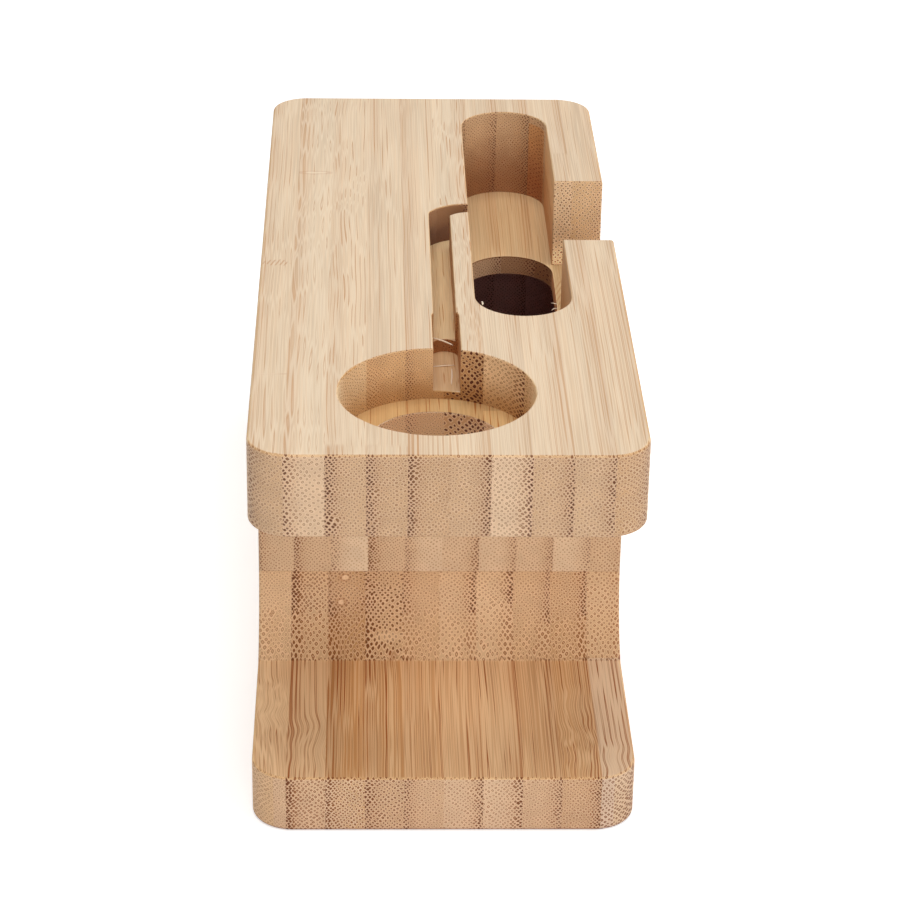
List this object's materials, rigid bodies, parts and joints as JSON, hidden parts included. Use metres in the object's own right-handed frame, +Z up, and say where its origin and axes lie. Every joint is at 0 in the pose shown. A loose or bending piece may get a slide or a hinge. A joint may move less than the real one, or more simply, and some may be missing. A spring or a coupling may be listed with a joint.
{
  "type": "charging stand",
  "caption": "Laminated bamboo charging stand: an overhanging arm with a stepped round recess, a lead channel, and a long phone pocket with a plug slot and a side notch.",
  "frame": {"origin": "on the table, under the middle of the block", "axes": "+Z up, +Y along the staves from the arm's free end to the back, +X to the right, towards the side with the notch"},
  "size_m": [0.058, 0.1462, 0.0635],
  "materials": {
    "bamboo_pale": "fine sanded, unlacquered",
    "bamboo_honey": "fine sanded, unlacquered",
    "bamboo_brown": "fine sanded, unlacquered"
  },
  "bodies": {
    "root": {"base_board_stave_left_1": "bamboo_honey", "base_board_stave_left_2": "bamboo_brown", "base_board_stave_left_3": "bamboo_brown", "base_board_stave_left_4": "bamboo_brown", "base_board_stave_left_5": "bamboo_pale", "base_board_stave_right_1": "bamboo_honey", "base_board_stave_right_2_front": "bamboo_honey", "base_board_stave_right_2_rear": "bamboo_honey", "base_board_stave_right_3_front": "bamboo_honey", "base_board_stave_right_3_rear": "bamboo_honey", "base_board_stave_right_4": "bamboo_honey", "base_board_stave_right_5": "bamboo_pale", "middle_board_stave_left_1": "bamboo_pale", "middle_board_stave_left_2": "bamboo_honey", "middle_board_stave_left_3": "bamboo_pale", "middle_board_stave_left_4": "bamboo_honey", "middle_board_stave_left_5": "bamboo_honey", "middle_board_stave_right_1": "bamboo_honey", "middle_board_stave_right_2_front": "bamboo_pale", "middle_board_stave_right_2_rear": "bamboo_pale", "middle_board_stave_right_3_front": "bamboo_honey", "middle_board_stave_right_3_rear": "bamboo_honey", "middle_board_stave_right_4": "bamboo_honey", "middle_board_stave_right_5": "bamboo_honey", "top_board_stave_left_1_front": "bamboo_honey", "top_board_stave_left_1_rear": "bamboo_honey", "top_board_stave_left_2": "bamboo_honey", "top_board_stave_left_3": "bamboo_honey", "top_board_stave_left_4": "bamboo_pale", "top_board_stave_left_5": "bamboo_honey", "top_board_stave_right_1_front": "bamboo_pale", "top_board_stave_right_1_rear": "bamboo_pale", "top_board_stave_right_2_front": "bamboo_pale", "top_board_stave_right_2_rear": "bamboo_pale", "top_board_stave_right_3_front": "bamboo_honey", "top_board_stave_right_3_rear": "bamboo_honey", "top_board_stave_right_4": "bamboo_honey", "top_board_stave_right_5": "bamboo_honey"}
  },
  "joints": []
}
